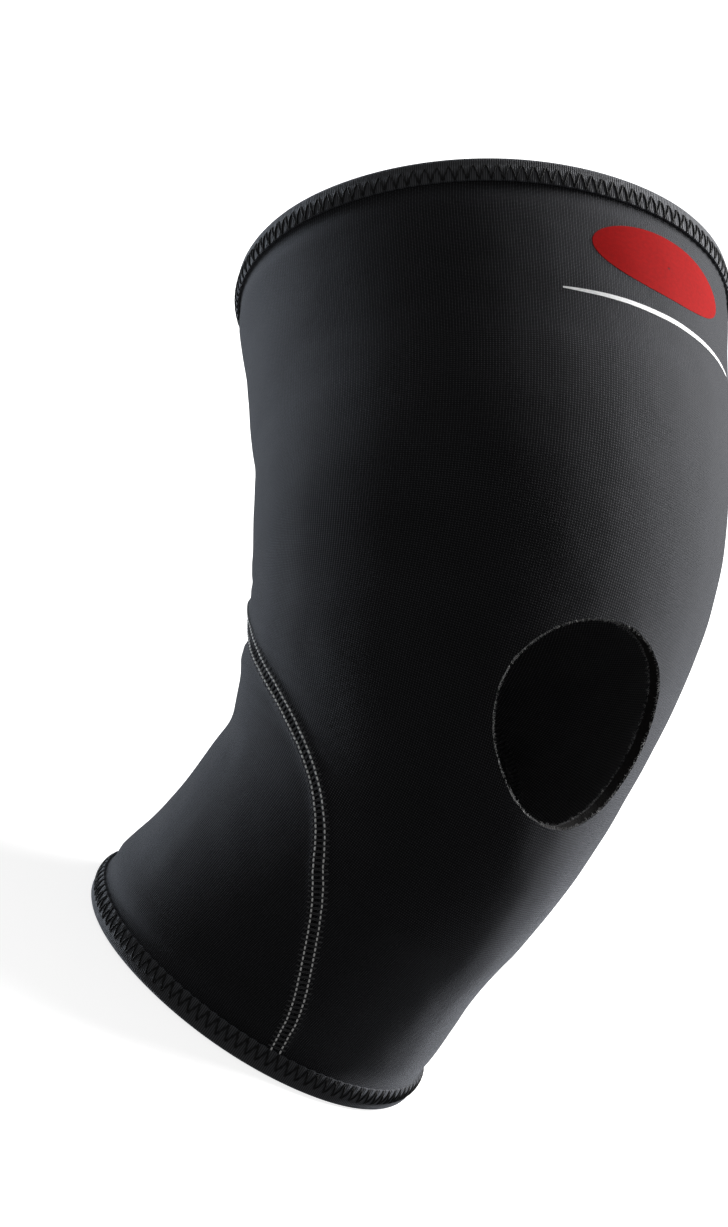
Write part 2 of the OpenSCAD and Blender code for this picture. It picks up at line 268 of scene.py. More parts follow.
def front_sheet():
    """The main panel, with the kneecap opening in a ring of finer cloth."""
    rows = np.concatenate([np.linspace(-CALF_LEN + HEM_GAP, FINE_FROM, 36),
                           np.linspace(FINE_FROM, FINE_TO, 56)[1:],
                           np.linspace(FINE_TO, THIGH_LEN - HEM_GAP, 48)[1:]])
    inner = FINE_SIDE * np.minimum(1, lateral(rows) / lateral(np.array(FINE_FROM)))
    wide, mid = SIDE_COLUMNS, FRONT_COLUMNS
    left = from_edge(rows, -lateral(rows) + gap(rows, lateral(rows)), -inner, wide)
    right = from_edge(rows, medial(rows) - gap(rows, medial(rows)), inner, wide)[:, ::-1]
    centre = -inner[:, None] + 2 * inner[:, None] * np.arange(1, mid) / mid
    th = np.concatenate([left, centre, right], 1)
    r, c = th.shape
    s = np.repeat(rows[:, None], c, 1)
    i0, i1 = int(np.argmin(abs(rows - FINE_FROM))), int(np.argmin(abs(rows - FINE_TO)))
    j0, j1 = wide, wide + mid
    quads = grid_quads(r, c)
    i, j = quads[:, 0] // c, quads[:, 0] % c
    quads = quads[~((i >= i0) & (i < i1) & (j >= j0) & (j < j1))]
    loop = ([i0 * c + j for j in range(j0, j1)] + [i * c + j1 for i in range(i0, i1)]
            + [i1 * c + j for j in range(j1, j0, -1)] + [i * c + j0 for i in range(i1, i0, -1)])
    s, th = s.ravel(), th.ravel()
    ls, lt = s[loop], th[loop]
    bearing = np.arctan2((ls + HOLE_DROP) / HOLE_S, lt / HOLE_TH)
    rough = 1 + 0.004 * np.sin(9 * bearing + 1) + 0.003 * np.sin(23 * bearing)
    rim_s, rim_t = -HOLE_DROP + HOLE_S * rough * np.sin(bearing), HOLE_TH * rough * np.cos(bearing)
    n, first = len(loop), len(s)
    ids = [np.array(loop)]
    for k in range(RINGS - 1, -1, -1):
        w = (k / RINGS) ** 1.2
        ids.append(first + np.arange(n))
        first += n
        s = np.concatenate([s, rim_s + (ls - rim_s) * w])
        th = np.concatenate([th, rim_t + (lt - rim_t) * w])
    for a, b in zip(ids[:-1], ids[1:]):
        quads = np.concatenate([quads, np.stack([a, np.roll(a, -1), np.roll(b, -1), b], 1)])
    used = np.unique(quads)
    renumber = np.zeros(len(s), int)
    renumber[used] = np.arange(len(used))
    return s[used], th[used], renumber[quads]


def rear_sheet():
    """The rear panel of the calf, up to the point where the side seams meet."""
    rows = np.concatenate([np.linspace(-CALF_LEN + HEM_GAP, FINE_FROM, 36),
                           np.linspace(FINE_FROM, APEX - 0.5, 48)[1:]])
    start = medial(rows) + gap(rows, medial(rows))
    end = 2 * math.pi - lateral(rows) - gap(rows, lateral(rows))
    middle = (start + end) / 2
    left = from_edge(rows, start, middle, SIDE_COLUMNS)
    right = from_edge(rows, end, middle, SIDE_COLUMNS)[:, -2::-1]
    th = np.concatenate([left, right], 1)
    r, c = th.shape
    return np.repeat(rows, c), th.ravel(), grid_quads(r, c)


# ---------------------------------------------------------------- mesh builders
def new_mesh(name, verts, faces, material, uv=None, sharp=35):
    """A smooth mesh from millimetres, with cloth coordinates and edges sharper than an angle kept sharp."""
    mesh = bpy.data.meshes.new(name)
    mesh.from_pydata((np.asarray(verts) * MM).tolist(), [], [list(f) for f in faces])
    mesh.validate()
    if uv is not None:
        uv_layer = mesh.uv_layers.new(name="cloth")
        index = np.zeros(len(mesh.loops), np.int32)
        mesh.loops.foreach_get("vertex_index", index)
        uv_layer.data.foreach_set("uv", np.asarray(uv)[index].astype(np.float32).ravel())
    mesh.polygons.foreach_set("use_smooth", np.ones(len(mesh.polygons), bool))
    mesh.set_sharp_from_angle(angle=math.radians(sharp))
    mesh.materials.append(material)
    obj = bpy.data.objects.new(name, mesh)
    bpy.context.scene.collection.objects.link(obj)
    return obj


def rim_edges(quads):
    """Directed edges that only one quad has."""
    directed = np.concatenate([quads[:, [0, 1]], quads[:, [1, 2]], quads[:, [2, 3]], quads[:, [3, 0]]])
    key = np.sort(directed, 1)
    code = key[:, 0].astype(np.int64) * (quads.max() + 1) + key[:, 1]
    _, index, count = np.unique(code, return_index=True, return_counts=True)
    return directed[index[count == 1]]


def layer(name, sheet, outside, inside, material, raise_by=relief):
    """Closed solid of one layer of cloth, from outside to inside millimetres off the leg's surface."""
    s, th, quads = sheet
    up = raise_by(s, th)
    verts = np.concatenate([skin(s, th, up + outside), skin(s, th, up + inside)])
    n = len(s)
    edges = rim_edges(quads)
    walls = np.stack([edges[:, 1], edges[:, 0], edges[:, 0] + n, edges[:, 1] + n], 1)
    faces = np.concatenate([quads, quads[:, ::-1] + n, walls])
    uv = np.stack([th * ROUND_MM, s * ALONG_MM], 1) * MM
    return new_mesh(name, verts, faces.tolist(), material, np.concatenate([uv, uv]))


def tubes(paths, ups, radius, sides=6, closed=False):
    """Vertices and faces of many thin tubes at once. paths and ups are (tube, point, xyz)."""
    if closed:
        ahead = np.roll(paths, -1, 1) - np.roll(paths, 1, 1)
    else:
        ahead = np.gradient(paths, axis=1)
    ahead = ahead / np.maximum(np.linalg.norm(ahead, axis=-1, keepdims=True), 1e-9)
    side = np.cross(ahead, ups)
    side = side / np.maximum(np.linalg.norm(side, axis=-1, keepdims=True), 1e-9)
    top = np.cross(side, ahead)
    turn = 2 * math.pi * np.arange(sides) / sides
    r = np.broadcast_to(np.asarray(radius, float), paths.shape[1:2])[None, :, None, None]
    spoke = side[:, :, None] * np.cos(turn)[:, None] + top[:, :, None] * np.sin(turn)[:, None]
    ring = paths[:, :, None] + r * spoke
    t, m = paths.shape[:2]
    last = m if closed else m - 1
    i, j, k = np.meshgrid(np.arange(t), np.arange(last), np.arange(sides), indexing="ij")
    a = (i * m + j) * sides + k
    b = (i * m + j) * sides + (k + 1) % sides
    step = np.where(j == m - 1, -(m - 1), 1) * sides
    faces = np.stack([a, b, b + step, a + step], -1).reshape(-1, 4).tolist()
    if not closed:
        for n in range(t):
            faces.append([n * m * sides + q for q in range(sides - 1, -1, -1)])
            faces.append([((n + 1) * m - 1) * sides + q for q in range(sides)])
    return ring.reshape(-1, 3), faces


def normals(s, th):
    """Outward directions of the leg's surface."""
    du = skin(s, th + 0.01) - skin(s, th - 0.01)
    dv = skin(s + 0.5, th) - skin(s - 0.5, th)
    n = np.cross(du, dv)
    return n / np.linalg.norm(n, axis=-1, keepdims=True)


def place_soft(obj, *nodes):
    """Bakes a piece of cloth's placement into its mesh and hides the CAD nodes it stands for."""
    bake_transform(obj)
    if nodes:
        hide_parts(*nodes)
    return obj


# ---------------------------------------------------------------- materials
def material(name, roughness, specular=0.3, sheen=0.0, sheen_roughness=0.4, sheen_tint=(1, 1, 1)):
    mat = bpy.data.materials.new(name)
    mat.use_nodes = True
    shader = mat.node_tree.nodes["Principled BSDF"]
    shader.inputs["Roughness"].default_value = roughness
    shader.inputs["Specular IOR Level"].default_value = specular
    shader.inputs["Sheen Weight"].default_value = sheen
    shader.inputs["Sheen Roughness"].default_value = sheen_roughness
    shader.inputs["Sheen Tint"].default_value = (*sheen_tint, 1)
    return mat, mat.node_tree, shader


def feed(tree, socket, value):
    """Sets a socket to a number or colour, or links another node's output to it."""
    if isinstance(value, tuple):
        socket.default_value = (*value, 1)
    elif isinstance(value, (int, float)):
        socket.default_value = value
    else:
        tree.links.new(value, socket)


def coordinates(tree, kind, scale, turn=0.0):
    source = tree.nodes.new("ShaderNodeTexCoord")
    mapping = tree.nodes.new("ShaderNodeMapping")
    mapping.inputs["Scale"].default_value = scale
    mapping.inputs["Rotation"].default_value = (0, 0, turn)
    tree.links.new(source.outputs[kind], mapping.inputs["Vector"])
    return mapping.outputs["Vector"]


def cloth_place(tree, across_mm=1.0, along_mm=1.0, turn=0.0):
    """Cloth coordinates that count in repeats of the given size."""
    return coordinates(tree, "UV", (1 / (across_mm * MM), 1 / (along_mm * MM), 1), turn)


def texture(tree, kind, place, **settings):
    """A texture node at a place, with its number sockets set by name."""
    node = tree.nodes.new("ShaderNodeTex" + kind)
    for socket, value in settings.items():
        node.inputs[socket].default_value = value
    tree.links.new(place, node.inputs["Vector"])
    return node


def ramp(tree, factor, stops):
    node = tree.nodes.new("ShaderNodeValToRGB")
    while len(node.color_ramp.elements) < len(stops):
        node.color_ramp.elements.new(0.5)
    for element, (at, colour) in zip(node.color_ramp.elements, stops):
        element.position = at
        element.color = (*colour, 1)
    tree.links.new(factor, node.inputs["Fac"])
    return node.outputs["Color"]


def mix(tree, factor, a, b, blend="MIX"):
    node = tree.nodes.new("ShaderNodeMix")
    node.data_type = "RGBA"
    node.blend_type = blend
    for socket, value in ((0, factor), (6, a), (7, b)):
        feed(tree, node.inputs[socket], value)
    return node.outputs[2]


def bump(tree, shader, height, strength, distance, before=None):
    node = tree.nodes.new("ShaderNodeBump")
    node.inputs["Strength"].default_value = strength
    node.inputs["Distance"].default_value = distance
    tree.links.new(height, node.inputs["Height"])
    if before is not None:
        tree.links.new(before, node.inputs["Normal"])
    tree.links.new(node.outputs["Normal"], shader.inputs["Normal"])
    return node.outputs["Normal"]


def math_node(tree, operation, *values):
    """A Math node whose inputs are numbers or other nodes' outputs."""
    node = tree.nodes.new("ShaderNodeMath")
    node.operation = operation
    for socket, value in zip(node.inputs, values):
        feed(tree, socket, value)
    return node.outputs[0]


def knit_height(tree, place):
    """Jersey loops: columns of small V shapes, one leg higher than the other."""
    split = tree.nodes.new("ShaderNodeSeparateXYZ")
    tree.links.new(place, split.inputs["Vector"])
    u, v = split.outputs["X"], split.outputs["Y"]
    slant = math_node(tree, "MULTIPLY_ADD", math_node(tree, "PINGPONG", u, 0.5), 1.1, v)
    loops = math_node(tree, "SINE", math_node(tree, "MULTIPLY", slant, 2 * math.pi))
    legs = math_node(tree, "COSINE", math_node(tree, "MULTIPLY", u, 4 * math.pi))
    lead = math_node(tree, "SINE", math_node(tree, "MULTIPLY", u, 2 * math.pi))
    loops = math_node(tree, "MULTIPLY_ADD", loops, 0.5, 0.5)
    legs = math_node(tree, "MULTIPLY_ADD", legs, -0.5, 0.5)
    lead = math_node(tree, "MULTIPLY_ADD", lead, 0.34, 0.66)
    return math_node(tree, "MULTIPLY", math_node(tree, "MULTIPLY", loops, legs), lead)


def knit_material(name, dark, light, wale, course, sheen, strength, tint):
    """Jersey knit with a slightly cloudy, uneven tone, and painted highlight on the loops' crowns with
    painted shade in their hollows. wale and course are a loop's width and height.
    """
    mat, tree, shader = material(name, 0.8, 0.1, sheen, 0.45, tint)
    place = cloth_place(tree, wale, course)
    height = knit_height(tree, place)
    uneven = texture(tree, "Noise", place, Scale=0.8, Detail=3)
    cloud = texture(tree, "Noise", place, Scale=0.03, Detail=4)
    patchy = math_node(tree, "MULTIPLY_ADD", uneven.outputs["Fac"], 1.5, 0.35)
    # Painted highlight and shade: the loops' height, times uneven patches, picks the light colour on their
    # crowns and the dark one in their hollows.
    wear_and_loop_highlight = math_node(tree, "MULTIPLY", height, patchy)
    tone = mix(tree, wear_and_loop_highlight, dark, light)
    shade = ramp(tree, cloud.outputs["Fac"], [(0.3, (0.8, 0.8, 0.8)), (0.7, (1.1, 1.1, 1.13))])
    feed(tree, shader.inputs["Base Color"], mix(tree, 1, tone, shade, "MULTIPLY"))
    bump(tree, shader, wear_and_loop_highlight, strength, 0.00018)
    return mat


def foam_material():
    """Cut edge of closed-cell foam: matte, with tiny cells whose pits are painted darker as shade."""
    mat, tree, shader = material("foam", 0.9, 0.15)
    cells = texture(tree, "Voronoi", coordinates(tree, "Object", (1, 1, 1)), Scale=2600)
    depth_in = cells.outputs["Distance"]
    # Painted shade: each cell darker towards its middle, where its pit is deepest.
    tone = ramp(tree, depth_in, [(0.0, (0.003, 0.003, 0.003)), (0.6, (0.013, 0.012, 0.012))])
    feed(tree, shader.inputs["Base Color"], tone)
    bump(tree, shader, depth_in, 0.6, 0.0002)
    return mat


def thread_material(name, dark, light, sheen):
    """Twisted thread: fine slanting plies and fuzz."""
    mat, tree, shader = material(name, 0.7, 0.25, sheen, 0.4)
    place = coordinates(tree, "Object", (1, 1, 1))
    ply = texture(tree, "Wave", place, Scale=900, Distortion=2)
    ply.bands_direction = "DIAGONAL"
    noise = texture(tree, "Noise", place, Scale=900)
    feed(tree, shader.inputs["Base Color"], mix(tree, noise.outputs["Fac"], dark, light))
    bump(tree, shader, ply.outputs["Color"], 0.5, 0.00008)
    return mat


def tape_material():
    """Ribbed knit tape: ribs across its width, with painted highlight on the crowns and painted shade
    between them.
    """
    mat, tree, shader = material("binding_tape", 0.72, 0.2, 0.25, 0.4, (0.8, 0.86, 1))
    place = cloth_place(tree)
    ribs = texture(tree, "Wave", place, Scale=0.5, Distortion=0.12, Detail=1)
    ribs.bands_direction = "X"
    weave = texture(tree, "Voronoi", place, Scale=2.4)
    crowns = ribs.outputs["Color"]
    # Painted highlight and shade: the ribs' crowns lighter and their grooves darker, in one yarn.
    tone = ramp(tree, crowns, [(0.1, (0.025, 0.025, 0.027)), (0.95, (0.085, 0.087, 0.094))])
    feed(tree, shader.inputs["Base Color"], tone)
    first = bump(tree, shader, crowns, 0.7, 0.00018)
    bump(tree, shader, weave.outputs["Distance"], 0.35, 0.0001, first)
    return mat


def print_material(name, colour, wear_and_loop_highlight):
    """Heat-transfer film over knit: the loops show through it."""
    mat, tree, shader = material(name, 0.8, 0.04)
    place = cloth_place(tree, 0.62, 0.62, math.radians(8))
    loops = texture(tree, "Voronoi", place, Scale=1.0, Randomness=0.25)
    noise = texture(tree, "Noise", place, Scale=0.5)
    patch = ramp(tree, noise.outputs["Fac"], [(0.35, (0, 0, 0)), (0.65, (1, 1, 1))])
    feed(tree, shader.inputs["Base Color"], mix(tree, patch, colour, wear_and_loop_highlight))
    bump(tree, shader, loops.outputs["Distance"], 0.3, 0.00008)
    return mat


def satin_material():
    """Woven satin ribbon."""
    mat, tree, shader = material("label_satin", 0.42, 0.4, 0.2, 0.3)
    weave = texture(tree, "Wave", cloth_place(tree), Scale=1.6, Distortion=0.5).outputs["Color"]
    tone = ramp(tree, weave, [(0, (0.72, 0.72, 0.7)), (1, (0.86, 0.86, 0.84))])
    feed(tree, shader.inputs["Base Color"], tone)
    bump(tree, shader, weave, 0.3, 0.00006)
    return mat


COOL = (0.86, 0.9, 1.0)
# The light colour of jersey and lining is painted highlight on the loops' crowns, and the dark one is
# painted shade in their hollows.
JERSEY = knit_material("jersey", (0.0015, 0.0015, 0.002), (0.068, 0.067, 0.07), 0.76, 0.6, 0.3, 0.9, COOL)
LINING = knit_material("lining", (0.012, 0.012, 0.013), (0.13, 0.13, 0.136), 1.1, 0.9, 0.15, 0.7, (1, 1, 1))
FOAM = foam_material()
PALE = thread_material("needle_thread", (0.8, 0.8, 0.79), (0.95, 0.95, 0.93), 0.6)
COVER_BLACK = thread_material("cover_thread", (0.02, 0.02, 0.022), (0.1, 0.1, 0.105), 0.2)
BLACK = thread_material("black_thread", (0.002, 0.002, 0.002), (0.012, 0.012, 0.013), 0.05)
TAPE = tape_material()
RED = print_material("red_film", (0.26, 0.002, 0.002), (0.22, 0.002, 0.002))
WHITE = print_material("white_film", (0.85, 0.85, 0.85), (0.72, 0.72, 0.72))
SATIN = satin_material()
# Painted highlight: the cut fibres are grey, lighter than the black cloth they come from, standing for
# light caught along the cut edge.
FUZZ = thread_material("edge_fuzz", (0.2, 0.2, 0.2), (0.5, 0.5, 0.5), 0.4)

# ---------------------------------------------------------------- panels
front, rear = front_sheet(), rear_sheet()
# layer, its outside and inside in millimetres off the leg's surface, material, slot
LAYERS = (
    ("face", 0.0, -FACE_T, JERSEY, "jersey"),
    ("core", -FACE_T - LAYER_GAP, LINING_T - WALL_T + LAYER_GAP, FOAM, "foam"),
    ("lining", LINING_T - WALL_T, -WALL_T, LINING, "lining"))


def panels():
    for part, outside, inside, mat, slot in LAYERS:
        obj = layer("front_panel_" + part, front, outside, inside, mat)
        place_soft(obj, "calf_front_" + part, "knee_front_" + part, "thigh_" + part)
        obj = layer("rear_panel_" + part, rear, outside, inside, mat)
        place_soft(obj, "calf_rear_" + part, "knee_rear_" + part)


panels()


# ---------------------------------------------------------------- seams
STITCH = 1.6          # needle stitch pitch
DASH = 1.15           # length of thread that shows
ROW = 1.38            # each needle row's distance from the seam line
COVER = 2.7           # reach of the cover thread each side
NEEDLE_R = 0.27       # radius of the needle thread
COVER_R = 0.15        # radius of the cover and looper threads
FLANK = 1.2           # inside this distance a thread bridges the seam's groove
PROBE = 6.0           # where a ray down to the cloth starts, off the leg's surface


def cloth_tree():
    """The outer faces of both panels, to lay thread on."""
    verts, faces, first = [], [], 0
    for s, th, quads in (front, rear):
        verts.append(skin(s, th, relief(s, th)))
        faces += (quads + first).tolist()
        first += len(s)
    return BVHTree.FromPolygons(np.concatenate(verts).tolist(), faces)


CLOTH = cloth_tree()


def cloth_height(s, th):
    """Height of the modelled face above the plain leg."""
    rough = relief(s, th)
    start = skin(s, th, PROBE)
    way = (skin(s, th, 0.0) - start) / PROBE
    height = rough.copy()
    for i in np.ndindex(rough.shape):
        place, _, _, reach = CLOTH.ray_cast(Vector(start[i]), Vector(way[i]), 1.5 * PROBE)
        if place is not None and abs(PROBE - reach - rough[i]) < 1.0:
            height[i] = PROBE - reach
    return height


class Seam:
    """A seam line on the cloth, walked by its length."""

    def __init__(self, s, th):
        self.s, self.th = s, th
        steps = np.linalg.norm(np.diff(skin(s, th), axis=0), axis=1)
        self.at = np.concatenate([[0], np.cumsum(steps)])
        self.length = self.at[-1]

    def sideways(self, at, off):
        """The place (s, th) at a length along the seam and a distance to its side."""
        s, th = np.interp(at, self.at, self.s), np.interp(at, self.at, self.th)
        s2, th2 = np.interp(at + 0.4, self.at, self.s), np.interp(at + 0.4, self.at, self.th)
        s1, th1 = np.interp(at - 0.4, self.at, self.s), np.interp(at - 0.4, self.at, self.th)
        al, ac = along(s, th), across(s, th)
        ds, dt = (s2 - s1) * al, (th2 - th1) * ac
        size = np.maximum(np.hypot(ds, dt), 1e-6)
        return s - dt / size / al * off, th + ds / size / ac * off

    def on_face(self, at, off, height):
        """Points above the face. Near the seam line a thread bridges from flank to flank."""
        s, th = self.sideways(at, off)
        flank = np.where(off < 0, -1.0, 1.0) * np.maximum(np.abs(off), FLANK)
        return skin(s, th, cloth_height(*self.sideways(at, flank)) + height), normals(s, th)

    def on_lining(self, at, off, height):
        """Points inside the lining."""
        s, th = self.sideways(at, off)
        return skin(s, th, relief(s, th) - WALL_T - height), normals(s, th)


def seam_lines():
    foot, head = -CALF_LEN + BINDING_H - 0.5, THIGH_LEN - BINDING_H + 0.5
    rise = np.linspace(foot, APEX - 1.5, 500)
    back = np.linspace(APEX - 1, head, 300)
    return {"lateral": Seam(rise, -lateral(rise)), "medial": Seam(rise, medial(rise)),
            "back": Seam(back, np.full(len(back), math.pi))}


def joined(parts):
    """One list of vertices and faces from several."""
    verts, faces, first = [], [], 0
    for v, f in parts:
        faces += [[q + first for q in face] for face in f]
        verts.append(v)
        first += len(v)
    return np.concatenate(verts), faces


def needle_rows(seam):
    """Two rows of raised thread, each stitch diving into the cloth at its ends."""
    starts = np.arange(0.3, seam.length - STITCH, STITCH)
    t = np.linspace(0, 1, 9)
    parts = []
    for off in (-ROW, ROW):
        jitter = rng.normal(0, 0.03, (2, len(starts), 1))
        at = starts[:, None] + DASH * t + jitter[0]
        rise = -0.14 + 0.36 * np.sin(math.pi * t) ** 0.5
        centre, up = seam.on_face(at, off + jitter[1] + 0 * at, rise)
        parts.append(tubes(centre, up, NEEDLE_R * np.sin(math.pi * (0.06 + 0.88 * t)) ** 0.35, 8))
    return joined(parts)


def cover_loops(seam, inside=False):
    """Narrow loops of cover thread across the seam, one to a stitch."""
    starts = np.arange(0.3, seam.length - STITCH, STITCH) + (STITCH + DASH) / 2
    turn = 2 * math.pi * np.arange(28) / 28
    reach = COVER + rng.normal(0, 0.09, (len(starts), 1))
    at = starts[:, None] + 0.21 * np.cos(turn) + rng.normal(0, 0.03, (len(starts), 1))
    off = reach * np.sin(turn)
    height = 0.13 - 0.2 * np.abs(np.sin(turn)) ** 12
    centre, up = (seam.on_lining if inside else seam.on_face)(at, off, height)
    return tubes(centre, up, COVER_R, 6, closed=True)


def seams():
    for name, seam in seam_lines().items():
        for kind, (v, f), mat, slot in (
                ("needles", needle_rows(seam), PALE, "needle_thread"),
                ("cover", cover_loops(seam), COVER_BLACK, "cover_thread"),
                ("looper", cover_loops(seam, inside=True), COVER_BLACK, "cover_thread")):
            obj = new_mesh(name + "_seam_" + kind, v, f, mat)
            place_soft(obj, *[n for n in frame["nodes"] if n.endswith(name + "_" + kind)])


seams()


# ---------------------------------------------------------------- hems
class Hem:
    """A round hem: its cloth's radius, its foot's centre, the ways into the sleeve and to the front."""

    def __init__(self, name, radius, centre, into, to_front, stitches):
        self.name, self.radius, self.stitches = name, radius, stitches
        self.centre, self.into, self.to_front = np.array(centre), np.array(into), np.array(to_front)

    def point(self, r, turn, z):
        r, turn, z = np.broadcast_arrays(r, turn, z)
        return (self.centre + (r * np.sin(turn))[..., None] * np.array([1.0, 0, 0])
                + (r * np.cos(turn))[..., None] * self.to_front + z[..., None] * self.into)

    def outward(self, turn):
        return self.point(1.0, turn, 0.0) - self.point(0.0, turn, 0.0)


ZIGZAG_R = 0.26                                 # radius of the zigzag thread
ZIGZAG_H = 4.7                                  # height of a zigzag
INNER_GAP = 0.35                                # lining to the inside of the tape
lean_y, lean_z = math.sin(REST_BEND), math.cos(REST_BEND)
HEMS = (Hem("calf", CALF_R, (0, 0, 0), (0, 0, 1), (0, -1, 0), 104),
        Hem("thigh", THIGH_R, hem_centre, (0, -lean_y, -lean_z), (0, -lean_z, lean_y), 132))


def swell(hem, turn, z):
    """How far the outside of the tape stands out: pulled in where the zigzag bites, round between."""
    top = np.exp(-((z - BINDING_H) / 1.6) ** 2)
    waist = np.exp(-((z - BINDING_H + 5.1) / 1.1) ** 2)
    bite = 0.5 + 0.5 * np.cos(hem.stitches * turn)
    return (-0.28 * top * bite - 0.3 * waist + 0.2 * np.sin(math.pi * np.clip((z - 3.0) / 5.0, 0, 1))
            + 0.12 * np.sin(3 * turn + 1) + 0.08 * np.sin(7 * turn))


def binding(hem):
    """Folded knit tape with a rolled foot, puckered where the zigzag pulls it down."""
    turns = 16 * hem.stitches
    turn = 2 * math.pi * np.arange(turns) / turns
    outer, inner = hem.radius + TAPE_OUT, hem.radius - WALL_T - INNER_GAP - TAPE_T
    roll, middle = (outer - inner) / 2, (outer + inner) / 2
    # Round the section: radius, height above the foot, and how much the zigzag moves it
    profile = [(outer - 0.12, BINDING_H + 0.1, 1.0)]
    for z in np.linspace(BINDING_H - 0.3, 3.0, 12):
        profile.append((outer, z, 1.0))
    for a in np.radians(np.arange(0, 181, 12)):
        low = 2.2 - 2.2 * math.sin(a) ** 0.8
        profile.append((middle + roll * math.cos(a), low, 0.5 + 0.5 * math.cos(a)))
    for z in (3.2, 5, BINDING_H - 1, BINDING_H):
        profile.append((inner, z, 0.0))
    for z in (BINDING_H, 4, 2.6):
        profile.append((inner + TAPE_T, z, 0.0))
    profile.append((middle, 1.2, 0.0))
    for z in (2.6, 4, BINDING_H - 1):
        profile.append((outer - TAPE_T, z, 0.0))
    profile.append((outer - TAPE_T, BINDING_H + 0.1, 1.0))
    profile = np.array(profile)
    z = profile[:, 1][None] + 0 * turn[:, None]
    top = np.exp(-((z - BINDING_H) / 1.6) ** 2) * profile[:, 2]
    out = swell(hem, turn[:, None], z) * profile[:, 2]
    z = z - 0.35 * top * (0.5 + 0.5 * np.cos(hem.stitches * turn))[:, None]
    verts = hem.point(profile[:, 0][None] + out, turn[:, None], z)
    n = len(profile)
    i, j = np.meshgrid(np.arange(turns), np.arange(n), indexing="ij")
    a, b = i * n + j, ((i + 1) % turns) * n + j
    c, d = ((i + 1) % turns) * n + (j + 1) % n, i * n + (j + 1) % n
    faces = np.stack([a, d, c, b], -1).reshape(-1, 4)
    girth = np.cumsum(np.concatenate([[0], np.hypot(*np.diff(profile[:, :2], axis=0).T)]))
    uv = np.stack(np.broadcast_arrays(turn[:, None] * hem.radius, girth[None]), -1) * MM
    obj = new_mesh(hem.name + "_hem_tape", verts.reshape(-1, 3), faces.tolist(), TAPE,
                   uv.reshape(-1, 2), sharp=60)
    place_soft(obj, hem.name + "_hem_binding")


def hem_stitches(hem):
    """The zigzag thread on both sides of the tape."""
    steps = 20
    count = hem.stitches * steps
    turn = 2 * math.pi * np.arange(count) / count
    phase = (np.arange(count) % steps) / steps
    swing = 0.72 * (np.abs(2 * phase - 1) * 2 - 1) + 0.28 * np.cos(2 * math.pi * phase)
    z = BINDING_H - 0.35 + (swing - 1) * ZIGZAG_H / 2
    dip = np.abs(swing) ** 10
    outside = hem.radius + TAPE_OUT + swell(hem, turn, z) + 0.2 - 0.26 * dip
    inside = hem.radius - WALL_T - INNER_GAP - TAPE_T - 0.12 + 0.2 * dip
    out = hem.outward(turn)[None]
    parts = [tubes(hem.point(outside, turn, z)[None], out, ZIGZAG_R, 8, closed=True),
             tubes(hem.point(inside, turn, z)[None], -out, ZIGZAG_R, 6, closed=True)]
    obj = new_mesh(hem.name + "_hem_zigzag_thread", *joined(parts), BLACK)
    place_soft(obj, hem.name + "_hem_zigzag")


for hem in HEMS:
    binding(hem)
    hem_stitches(hem)


# ---------------------------------------------------------------- print, label and cut edge
MARK_S, MARK_TH = 91.0, math.radians(4)         # middle of the oval
MARK_W, MARK_H = 54.0, 20.0
LINE_S = 74.0                                   # height of the line
LINE_FROM, LINE_TO = -26, 34                    # its ends, in degrees from the kneecap
LINE_HALF_W = 0.8
FILM_OUT, FILM_IN = 0.09, 0.01                  # film over the jersey
LABEL_FOOT = 81.0
LABEL_FROM, LABEL_TO = 198, 222                 # its sides, in degrees from the kneecap
LABEL_T = 0.25


def printed():
    """A plain oval over a plain line."""
    rings, spokes = 10, 96
    r = np.linspace(1, 0.02, rings)[:, None]
    a = 2 * math.pi * np.arange(spokes + 1) / spokes
    s = MARK_S + MARK_H / 2 * r * np.sin(a)
    th = MARK_TH + MARK_W / 2 / float(across(MARK_S, MARK_TH)) * r * np.cos(a)
    disc = (s.ravel(), th.ravel(), grid_quads(rings, spokes + 1)[:, ::-1])
    obj = layer("printed_oval", disc, FILM_OUT, FILM_IN, RED)
    place_soft(obj, "mark_print")
    steps = 90
    th = np.radians(np.linspace(LINE_FROM, LINE_TO, steps))
    w = LINE_HALF_W * np.sin(np.linspace(0.05, math.pi - 0.05, steps)) ** 0.4
    s = LINE_S + np.linspace(-1, 1, 5)[:, None] * w
    strip = (s.ravel(), np.tile(th, 5), grid_quads(5, steps))
    obj = layer("printed_line", strip, FILM_OUT, FILM_IN, WHITE)
    place_soft(obj, "line_print")


def label_lift(s, th):
    """The label hangs a little off the lining, in soft waves."""
    return relief(s, th) - 0.5 - 0.35 * np.sin((s - LABEL_FOOT) / 9) - 0.25 * np.sin(th * 14)


def care_label():
    """Blank satin label, its top caught under the binding."""
    s = np.linspace(LABEL_FOOT, THIGH_LEN - BINDING_H - 0.2, 28)
    th = np.radians(np.linspace(LABEL_FROM, LABEL_TO, 24))
    ss, tt = np.meshgrid(s, th, indexing="ij")
    sheet = (ss.ravel(), tt.ravel(), grid_quads(len(s), len(th)))
    obj = layer("care_label_satin", sheet, -WALL_T, -WALL_T - LABEL_T, SATIN, label_lift)
    place_soft(obj, "care_label")


